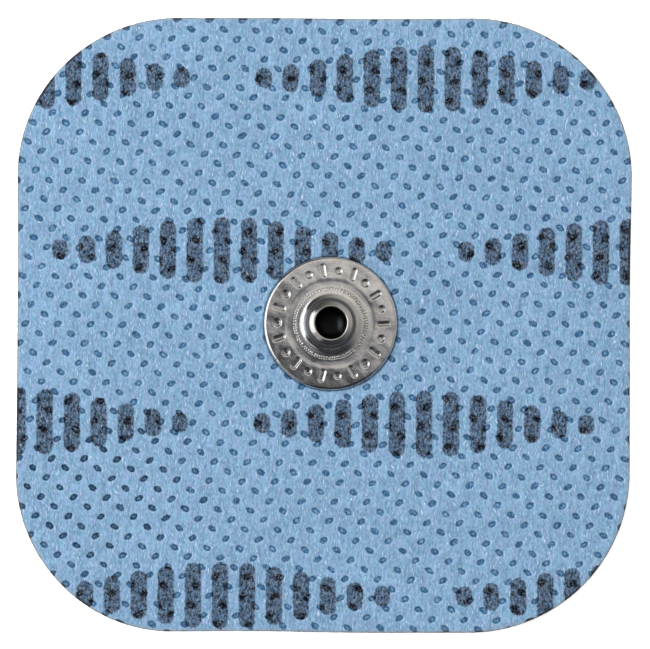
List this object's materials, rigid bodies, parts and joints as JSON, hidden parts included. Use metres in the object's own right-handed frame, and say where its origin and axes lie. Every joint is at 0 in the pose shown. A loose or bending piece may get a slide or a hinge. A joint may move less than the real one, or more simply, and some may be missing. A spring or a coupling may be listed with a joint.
{
  "type": "snap electrode",
  "caption": "Square self-adhesive stimulation pad with rounded corners: blue bonded cloth backing, carbon film, skin gel and a metal snap stud that takes the lead.",
  "frame": {"origin": "middle of the pad's outline, on the gel's lower face, which lies on the skin or on a table", "axes": "+Z out of the skin, along the snap stud; +X and +Y along the pad's straight sides"},
  "size_m": [0.05, 0.05, 0.005],
  "materials": {
    "plated_metal": "nickel-like plating, half bright, with fine tool marks",
    "blue_nonwoven": "matte thermally bonded fibres with small oval bond points and darker printed bars",
    "carbon_film": "satin black",
    "sticker": "matte white",
    "skin_gel": "clear, wet-looking soft gel"
  },
  "bodies": {
    "root": {"snap_stud": "plated_metal", "snap_eyelet": "plated_metal", "top_fabric": "blue_nonwoven", "carbon_film": "carbon_film", "insulating_disc": "sticker", "hydrogel": "skin_gel"}
  },
  "joints": []
}
